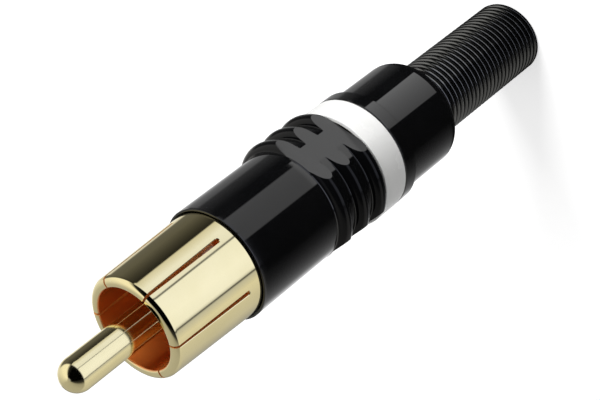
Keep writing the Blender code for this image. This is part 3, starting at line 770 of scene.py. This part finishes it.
def gold_plate(name, roughness, paint_bore_glow):
    """Thin bright gold plate; where asked for, a painted orange glow in the bore and on the slot walls
    stands in for light bounced between the gold walls, and there the plate is also rougher and less
    metallic.
    """
    material, tree, shader = new_material(name, 1.0)
    colour = use_group(tree, mottle, {"First": GOLD_COLOURS[0], "Second": GOLD_COLOURS[1], "Scale": 350.0})
    worn = use_group(tree, edge_wear, {"Reach": 0.5, "Scale": 1800.0})
    colour = blend_colours(tree, worn, colour, GOLD_WORN_COLOUR)
    gloss = use_group(tree, handled_gloss, {"Smooth": roughness[0], "Dull": roughness[1], "Scale": 260.0})
    if paint_bore_glow:
        radius, height = place_and_radius(tree)[1:]
        near_lip = spread(tree, height, *LIP_FADE_Z)
        kept_out = maths(tree, "ADD", radius, maths(tree, "MULTIPLY", near_lip, LIP_SHIFT))
        in_bore = spread(tree, kept_out, *BORE_EDGE_R)
        in_mouth = maths(tree, "GREATER_THAN", height, BORE_LOW_Z * MM)
        in_slot = slot_walls(tree)
        painted_glow_area = maths(tree, "MULTIPLY", maths(tree, "MAXIMUM", in_bore, in_slot), in_mouth)
        # Painted glow in the bore and slots, in place of light bounced between the gold walls.
        painted_glow = blend_colours(tree, in_slot, BORE_PAINTED_GLOW_COLOUR, SLOT_PAINTED_GLOW_COLOUR)
        colour = blend_colours(tree, painted_glow_area, colour, painted_glow)
        gloss = maths(tree, "ADD", gloss, maths(tree, "MULTIPLY", painted_glow_area, GOLD_BORE_DULLNESS))
        sheen = maths(tree, "SUBTRACT", 1.0, maths(tree, "MULTIPLY", painted_glow_area, GOLD_BORE_BODY))
        tree.links.new(sheen, shader.inputs["Metallic"])
    tree.links.new(colour, shader.inputs["Base Color"])
    tree.links.new(gloss, shader.inputs["Roughness"])
    raise_surface(tree, shader, use_group(tree, turning_lines, {"Lines": 12000.0}), 0.0000002)
    return material


sleeve_profile = arc(SLEEVE_MOUTH_BORE_R + SLEEVE_INNER_LIP, SLEEVE_MOUTH_Z - SLEEVE_INNER_LIP,
                     SLEEVE_INNER_LIP, 180.0, 90.0, 10)
sleeve_profile += arc(SLEEVE_MOUTH_R - SLEEVE_OUTER_LIP, SLEEVE_MOUTH_Z - SLEEVE_OUTER_LIP,
                      SLEEVE_OUTER_LIP, 90.0, 0.0, 22)
sleeve_profile += [(SLEEVE_LIP_GUARD_R, SLEEVE_MOUTH_Z - SLEEVE_OUTER_LIP - GUARD)]
sleeve_profile += [(SLEEVE_ROOT_R, SHELL_FRONT_Z), (SLEEVE_ROOT_R, SHOULDER_Z), (BARREL_R, SHOULDER_Z)]
sleeve_profile += thread_rows(BARREL_R, BARREL_THREAD_HIGH_Z, BARREL_THREAD_LOW_Z)
sleeve_profile += [(BARREL_R, BARREL_END_Z), (BARREL_LIP_R, BARREL_END_Z), (BARREL_LIP_R, BARREL_LIP_Z)]
sleeve_profile += [(BARREL_BORE_R, BARREL_LIP_Z), (BARREL_BORE_R, INSULATOR_LEDGE_Z)]
sleeve_profile += [(SLEEVE_ROOT_BORE_R, INSULATOR_LEDGE_Z), (SLEEVE_ROOT_BORE_R, SLOT_ROOT_Z)]
sleeve_mesh = turned(softened(sleeve_profile, SLEEVE_EDGE), 240)
cut_thread(sleeve_mesh, BARREL_R, BARREL_THREAD_LOW_Z, BARREL_THREAD_HIGH_Z, -1.0)
sleeve = add_piece("contact_sleeve_slotted", sleeve_mesh)
carved(sleeve, slot_tool())
sleeve.data.materials.clear()
sleeve.data.materials.append(gold_plate("sleeve_gold_painted_glow", (0.045, 0.080), True))
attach(sleeve, "insert")
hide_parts("contact_sleeve")


# Centre pin: turned brass, gold plated, with a round nose that enters the jack. A collar
# keeps it between the insulators, and a solder cup behind takes the cable's core.
PIN_R = 1.60
PIN_TIP_Z = 65.00
PIN_NOSE_Z = 63.40
PIN_EDGE = 0.07
PIN_COLLAR_R = 2.20
PIN_COLLAR_TOP_Z = 44.0
PIN_COLLAR_LOW_Z = 43.0
PIN_SHANK_R = 1.20
PIN_CUP_R = 1.45
PIN_CUP_BORE_R = 1.00
PIN_CUP_END_Z = 34.00
PIN_CUP_TOP_Z = 38.60
PIN_CUP_FLOOR_Z = 37.40
PIN_CUP_CUT_DISTANCE = 0.145
PIN_CUP_CUT_HALF = PIN_CUP_R + 1.0
PIN_CUP_CUT_Z = (PIN_CUP_END_Z - 1.0, PIN_CUP_END_Z + 2.6)

pin_corners = arc(0.0, PIN_NOSE_Z, PIN_R, 90.0, 0.0, 26)
pin_corners[0] = (0.0, PIN_TIP_Z)
pin_corners += [(PIN_R, PIN_NOSE_Z - GUARD)]
pin_corners += [(PIN_R, PIN_COLLAR_TOP_Z), (PIN_COLLAR_R, PIN_COLLAR_TOP_Z)]
pin_corners += [(PIN_COLLAR_R, PIN_COLLAR_LOW_Z), (PIN_SHANK_R, PIN_COLLAR_LOW_Z)]
pin_corners += [(PIN_SHANK_R, PIN_CUP_TOP_Z), (PIN_CUP_R, PIN_CUP_TOP_Z), (PIN_CUP_R, PIN_CUP_END_Z)]
pin_corners += [(PIN_CUP_BORE_R, PIN_CUP_END_Z), (PIN_CUP_BORE_R, PIN_CUP_FLOOR_Z)]
pin_corners += [(0.0, PIN_CUP_FLOOR_Z)]
pin_profile = softened(pin_corners, PIN_EDGE, closed=False)
pin = add_piece("centre_pin_turned", turned(pin_profile, closed=False))
carved(pin, milling_block(PIN_CUP_CUT_DISTANCE, PIN_CUP_CUT_HALF, *PIN_CUP_CUT_Z, -90.0))
pin.data.materials.clear()
pin.data.materials.append(gold_plate("pin_gold_plate", (0.095, 0.135), False))
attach(pin, "insert")
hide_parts("centre_pin")


# Front insulator: a turned white plastic disc between pin and sleeve, which is the stop at
# the bottom of the mouth. It throws light back up the gold bore.
FRONT_INSULATOR_CORNERS = [(1.70, 47.35), (4.25, 47.35), (4.25, 44.05), (1.70, 44.05)]
INSULATOR_EDGE = 0.08
WHITE_INSULATOR_COLOURS = ((0.78, 0.78, 0.76), (0.82, 0.82, 0.80))
WHITE_INSULATOR_WORN_COLOUR = (0.86, 0.86, 0.85)
WHITE_INSULATOR_ROUGHNESS = (0.36, 0.50)

front_insulator = add_piece(
    "front_insulator_disc", turned(softened(FRONT_INSULATOR_CORNERS, INSULATOR_EDGE)))
front_insulator.data.materials.append(finish_of(
    "white_insulator", WHITE_INSULATOR_COLOURS, WHITE_INSULATOR_WORN_COLOUR,
    WHITE_INSULATOR_ROUGHNESS, scale=900.0, line_depth=0.000002))
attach(front_insulator, "insert")
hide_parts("front_insulator")


# Rear insulator: a second turned disc, in black, with a pocket that traps the pin's collar.
REAR_INSULATOR_CORNERS = [(2.30, 44.00), (4.25, 44.00), (4.25, 39.70)]
REAR_INSULATOR_CORNERS += [(1.30, 39.70), (1.30, 42.95), (2.30, 42.95)]
BLACK_INSULATOR_COLOURS = ((0.026, 0.026, 0.027), (0.036, 0.036, 0.037))
BLACK_INSULATOR_WORN_COLOUR = (0.06, 0.06, 0.06)
BLACK_INSULATOR_ROUGHNESS = (0.34, 0.48)

rear_insulator = add_piece(
    "rear_insulator_disc", turned(softened(REAR_INSULATOR_CORNERS, INSULATOR_EDGE)))
rear_insulator.data.materials.append(finish_of(
    "black_insulator", BLACK_INSULATOR_COLOURS, BLACK_INSULATOR_WORN_COLOUR,
    BLACK_INSULATOR_ROUGHNESS, scale=900.0, line_depth=0.000002))
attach(rear_insulator, "insert")
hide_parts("rear_insulator")


# Ground lug: stamped from thin brass and gold plated, a ring that the barrel's lip holds,
# with a tail bent down and pierced for the cable's screen.
LUG_RING_CORNERS = [(2.10, 39.65), (4.25, 39.65), (4.25, 39.15), (2.10, 39.15)]
LUG_TAIL_TOP_Z = 39.40
LUG_TAIL_LOW_Z = 33.05
LUG_TAIL_HALF = 1.20
LUG_HOLE_R = 0.55
LUG_HOLE_Z = 34.30
LUG_FACES = (3.00, 3.50)
LUG_EDGE = 0.06


def lug_tail():
    """The pierced tail, drawn flat with a round end and given the thickness of the sheet."""
    edge = [(LUG_TAIL_HALF, LUG_TAIL_TOP_Z)]
    edge += arc(0.0, LUG_TAIL_LOW_Z + LUG_TAIL_HALF, LUG_TAIL_HALF, 0.0, -180.0, 30)
    edge += [(-LUG_TAIL_HALF, LUG_TAIL_TOP_Z)]
    hole = arc(0.0, LUG_HOLE_Z, LUG_HOLE_R, 0.0, 348.0, 29)
    bm = bmesh.new()
    for loop in (edge, hole):
        for depth in LUG_FACES:
            verts = [bm.verts.new((x, depth, z)) for x, z in loop]
            for first, second in zip(verts, verts[1:] + verts[:1]):
                bm.edges.new((first, second))
    bm.verts.ensure_lookup_table()
    start = 0
    for loop in (edge, hole):
        count = len(loop)
        for k in range(count):
            after = (k + 1) % count
            bm.faces.new((bm.verts[start + k], bm.verts[start + after],
                          bm.verts[start + count + after], bm.verts[start + count + k]))
        start += 2 * count
    for depth in LUG_FACES:
        rim = [e for e in bm.edges if all(abs(v.co.y - depth) < WELD for v in e.verts)]
        bmesh.ops.triangle_fill(bm, use_beauty=True, edges=rim)
    return bm


lug = add_piece("ground_lug_stamped", turned(softened(LUG_RING_CORNERS, LUG_EDGE)))
tail = add_piece("lug_tail_blank", lug_tail())
join = lug.modifiers.new("join", "BOOLEAN")
join.operation = "UNION"
join.solver = "EXACT"
join.object = tail
bpy.context.view_layer.update()
lug.data = bpy.data.meshes.new_from_object(lug.evaluated_get(bpy.context.evaluated_depsgraph_get()))
lug.modifiers.clear()
bpy.data.objects.remove(tail, do_unlink=True)
smooth_between_edges(lug.data, 28.0)
lug.data.materials.clear()
lug.data.materials.append(gold_plate("lug_gold_plate", (0.20, 0.30), False))
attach(lug, "insert")
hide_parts("ground_lug")


# Studio: a plain pale floor under the standing plug and soft light from above. What polished
# metal sees is set by cards, which are shades of the floor and the world for glossy rays: a
# bright card in front, thin gaps in it, dark at the sides and overhead behind the camera.
CARD_GAP = 0.02
GOLD_CARDS = ((-180, 0.90), (-150, 0.90), (-141, 0.75), (-134, 0.14), (-107, 0.12), (-83, 0.055),
              (-67, 0.02), (-65, 0.72), (-46, 0.95), (-22, 0.92), (-20.5, 0.06), (-19, 0.06),
              (-17, 1.0), (20, 1.05), (44, 1.0), (48.5, 0.75), (50, 0.08), (51.5, 0.08), (54, 0.58),
              (70, 0.80), (95, 0.66), (120, 0.60), (150, 0.40), (180, 0.35))
HIGH_CARDS = ((-180, 0.50), (-140, 0.85), (-110, 1.05), (-80, 1.05), (-66, 0.02), (-40, 0.0),
              (44, 0.0), (64, 0.04), (80, 0.36), (110, 0.45), (180, 0.50))
BLACK_CARDS_LEFT = ((-180, 0.80), (-153, 0.70), (-140, 0.45), (-118, 0.45), (-111, 0.18), (-94, 0.12),
                    (-78, CARD_GAP))
BLACK_CARDS_RIGHT = ((62, CARD_GAP), (82, 0.13), (106, 0.33), (130, 0.53), (154, 1.2), (180, 1.0))
STRIP_EDGE = 0.7
CAP_STRIP = (-55, 0, 1.8, 0.9)
RING_STRIP = (-90, -4, 2.5, 2.5)
RIB_STRIP = (-64, -3, 1.5, 1.4)
SHELL_STRIP = (-53, -3, 0.92, 0.85)
CAP_ZONE_R = 0.0228
RING_ZONE_R = 0.0360
RIB_ZONE_R = 0.0408
SHELL_ZONE_R = 0.0529
GOLD_ZONE_R = 0.0725
ZONE_BLUR = 0.0002
ZONE_BEND = 0.0033
FRONT_TINT = (1.0, 1.05, 1.25)
SIDE_TINT = (1.0, 0.985, 0.94)
TINT_TURN = (46.0, 68.0)
LOW_SKY = (3.0, 9.0)
OVERHEAD_SKY = (77.0, 87.0)
OVERHEAD_SHADE = (0.45, 0.45, 0.45)
SKY_LIGHT = 0.195
FLOOR_HALF = 1.5
FLOOR_PAINT = (0.86, 0.86, 0.86, 1.0)
FLOOR_LIFT = 0.545
WHITE = (1.0, 1.0, 1.0, 1.0)


def black_cards(strip_start, strip_end, left_level, right_level):
    """Cards for the black finish: a bright strip in front with darkness on both sides of it."""
    strip = ((strip_start - STRIP_EDGE, CARD_GAP), (strip_start, left_level),
             (strip_end, right_level), (strip_end + STRIP_EDGE, CARD_GAP))
    return BLACK_CARDS_LEFT + strip + BLACK_CARDS_RIGHT


def turn_about_plug(tree, x, y):
    """Angle round the plug in radians: 0 is -Y and positive turns towards -X."""
    return maths(tree, "ARCTAN2", maths(tree, "MULTIPLY", x, -1.0), maths(tree, "MULTIPLY", y, -1.0))


def card_shade(tree, angle, stops):
    """Brightness by the angle round the plug."""
    ramp = tree.nodes.new("ShaderNodeValToRGB")
    tree.links.new(spread(tree, angle, -math.pi, math.pi), ramp.inputs[0])
    elements = ramp.color_ramp.elements
    elements[0].position = 0.0
    elements[1].position = 1.0
    for degrees, value in stops[1:-1]:
        elements.new((degrees + 180.0) / 360.0).color = (value, value, value, 1.0)
    elements[0].color = (*(stops[0][1],) * 3, 1.0)
    elements[-1].color = (*(stops[-1][1],) * 3, 1.0)
    return ramp.outputs[0]


def tinted(tree, angle, colour):
    """Cool light from the front and warmer light from the sides."""
    start, end = (math.radians(degrees) for degrees in TINT_TURN)
    turned_away = spread(tree, maths(tree, "ABSOLUTE", angle), start, end)
    tint = blend_colours(tree, turned_away, FRONT_TINT, SIDE_TINT)
    node = tree.nodes.new("ShaderNodeMix")
    node.data_type = "RGBA"
    node.blend_type = "MULTIPLY"
    node.inputs["Factor"].default_value = 1.0
    tree.links.new(colour, node.inputs[6])
    tree.links.new(tint, node.inputs[7])
    return node.outputs[2]


def mix_shaders(tree, factor, first, second):
    """Mix two shaders by a socket."""
    node = tree.nodes.new("ShaderNodeMixShader")
    tree.links.new(factor, node.inputs[0])
    tree.links.new(first, node.inputs[1])
    tree.links.new(second, node.inputs[2])
    return node.outputs[0]


floor_bm = bmesh.new()
bmesh.ops.create_grid(floor_bm, x_segments=1, y_segments=1, size=FLOOR_HALF)
floor_mesh = bpy.data.meshes.new("studio_floor")
floor_bm.to_mesh(floor_mesh)
floor_bm.free()
floor = bpy.data.objects.new("studio_floor", floor_mesh)
bpy.context.scene.collection.objects.link(floor)
floor_material = bpy.data.materials.new("pale_floor")
floor_material.use_nodes = True
floor_tree = floor_material.node_tree
floor_tree.nodes.clear()
floor_out = floor_tree.nodes.new("ShaderNodeOutputMaterial")
paint = floor_tree.nodes.new("ShaderNodeBsdfDiffuse")
paint.inputs["Color"].default_value = FLOOR_PAINT
lift = floor_tree.nodes.new("ShaderNodeEmission")
lift.inputs["Strength"].default_value = FLOOR_LIFT
pale = floor_tree.nodes.new("ShaderNodeAddShader")
floor_tree.links.new(paint.outputs[0], pale.inputs[0])
floor_tree.links.new(lift.outputs[0], pale.inputs[1])
cards = floor_tree.nodes.new("ShaderNodeEmission")
light_path = floor_tree.nodes.new("ShaderNodeLightPath")
place, away = place_and_radius(floor_tree)[:2]
parts = floor_tree.nodes.new("ShaderNodeSeparateXYZ")
floor_tree.links.new(place, parts.inputs[0])
angle = turn_about_plug(floor_tree, parts.outputs[0], parts.outputs[1])
half_cosine = maths(floor_tree, "COSINE", maths(floor_tree, "MULTIPLY", angle, 0.5))
side_on = maths(floor_tree, "SUBTRACT", 1.0, half_cosine)
bent_away = maths(floor_tree, "ADD", away, maths(floor_tree, "MULTIPLY", side_on, ZONE_BEND))
zones = [(zone_r, card_shade(floor_tree, angle, black_cards(*strip)))
         for zone_r, strip in ((CAP_ZONE_R, CAP_STRIP), (RING_ZONE_R, RING_STRIP),
                               (RIB_ZONE_R, RIB_STRIP), (SHELL_ZONE_R, SHELL_STRIP))]
zones += [(GOLD_ZONE_R, tinted(floor_tree, angle, card_shade(floor_tree, angle, GOLD_CARDS)))]
shade = (CARD_GAP, CARD_GAP, CARD_GAP)
for zone_r, zone_shade in zones:
    beyond = spread(floor_tree, bent_away, zone_r - ZONE_BLUR, zone_r + ZONE_BLUR)
    shade = blend_colours(floor_tree, beyond, shade, zone_shade)
floor_tree.links.new(shade, cards.inputs[0])
seen_directly = maths(floor_tree, "MAXIMUM", light_path.outputs["Is Camera Ray"],
                      light_path.outputs["Is Transmission Ray"])
plain = mix_shaders(floor_tree, seen_directly, paint.outputs[0], pale.outputs[0])
seen = mix_shaders(floor_tree, light_path.outputs["Is Glossy Ray"], plain, cards.outputs[0])
floor_tree.links.new(seen, floor_out.inputs[0])
floor.data.materials.append(floor_material)

world = bpy.data.worlds.new("studio")
world.use_nodes = True
bpy.context.scene.world = world
sky = world.node_tree
sky.nodes.clear()
sky_out = sky.nodes.new("ShaderNodeOutputWorld")
sky_path = sky.nodes.new("ShaderNodeLightPath")
sky_white, sky_soft, sky_cards = (sky.nodes.new("ShaderNodeBackground") for _ in range(3))
sky_white.inputs["Color"].default_value = WHITE
sky_soft.inputs["Color"].default_value = WHITE
sky_soft.inputs["Strength"].default_value = SKY_LIGHT
direction = sky.nodes.new("ShaderNodeTexCoord").outputs["Generated"]
sky_parts = sky.nodes.new("ShaderNodeSeparateXYZ")
sky.links.new(direction, sky_parts.inputs[0])
sky_angle = turn_about_plug(sky, sky_parts.outputs[0], sky_parts.outputs[1])
raised = spread(sky, sky_parts.outputs[2], *(math.sin(math.radians(a)) for a in LOW_SKY))
overhead = spread(sky, sky_parts.outputs[2], *(math.sin(math.radians(a)) for a in OVERHEAD_SKY))
low_shade = card_shade(sky, sky_angle, GOLD_CARDS)
sky_shade = blend_colours(sky, raised, low_shade, card_shade(sky, sky_angle, HIGH_CARDS))
sky_shade = blend_colours(sky, overhead, sky_shade, OVERHEAD_SHADE)
sky.links.new(tinted(sky, sky_angle, sky_shade), sky_cards.inputs["Color"])
unlit = mix_shaders(sky, sky_path.outputs["Is Glossy Ray"], sky_soft.outputs[0], sky_cards.outputs[0])
sky_direct = maths(sky, "MAXIMUM", sky_path.outputs["Is Camera Ray"],
                   sky_path.outputs["Is Transmission Ray"])
sky.links.new(mix_shaders(sky, sky_direct, unlit, sky_white.outputs[0]), sky_out.inputs[0])


def softbox(name, place, aim, size, power):
    """A square area lamp that lights matt surfaces and isn't seen in polished ones."""
    lamp = bpy.data.lights.new(name, "AREA")
    lamp.shape = "SQUARE"
    lamp.size = size
    lamp.energy = power
    box = bpy.data.objects.new(name, lamp)
    box.location = place
    box.rotation_euler = (Vector(aim) - Vector(place)).to_track_quat("-Z", "Y").to_euler()
    box.visible_glossy = False
    box.visible_camera = False
    bpy.context.scene.collection.objects.link(box)


softbox("key_softbox", place=(0.44, -0.25, 0.28), aim=(0.0, 0.0, 0.03), size=0.30, power=3.1)
softbox("top_softbox", place=(0.0, 0.0, 0.70), aim=(0.0, 0.0, 0.0), size=0.50, power=1.2)


# Camera: it looks down at the standing plug from the front and is rolled so that the pin
# points to the lower left of the picture.
CAMERA_PLACE = (0.0, -0.122186, 0.126926)
CAMERA_RIGHT = (-0.6173, -0.4748, -0.6273)
CAMERA_UP = (0.7867, -0.3720, -0.4926)
CAMERA_BACK = (0.000507, -0.7976, 0.6032)

lens = bpy.data.cameras.new("camera")
lens.lens = 100.0
lens.sensor_width = 36.0
lens.clip_start = 0.001
camera = bpy.data.objects.new("camera", lens)
turn = Matrix((CAMERA_RIGHT, CAMERA_UP, CAMERA_BACK)).transposed().to_4x4()
camera.matrix_world = Matrix.Translation(CAMERA_PLACE) @ turn
bpy.context.scene.collection.objects.link(camera)
bpy.context.scene.camera = camera
bpy.context.scene.view_settings.view_transform = "Standard"
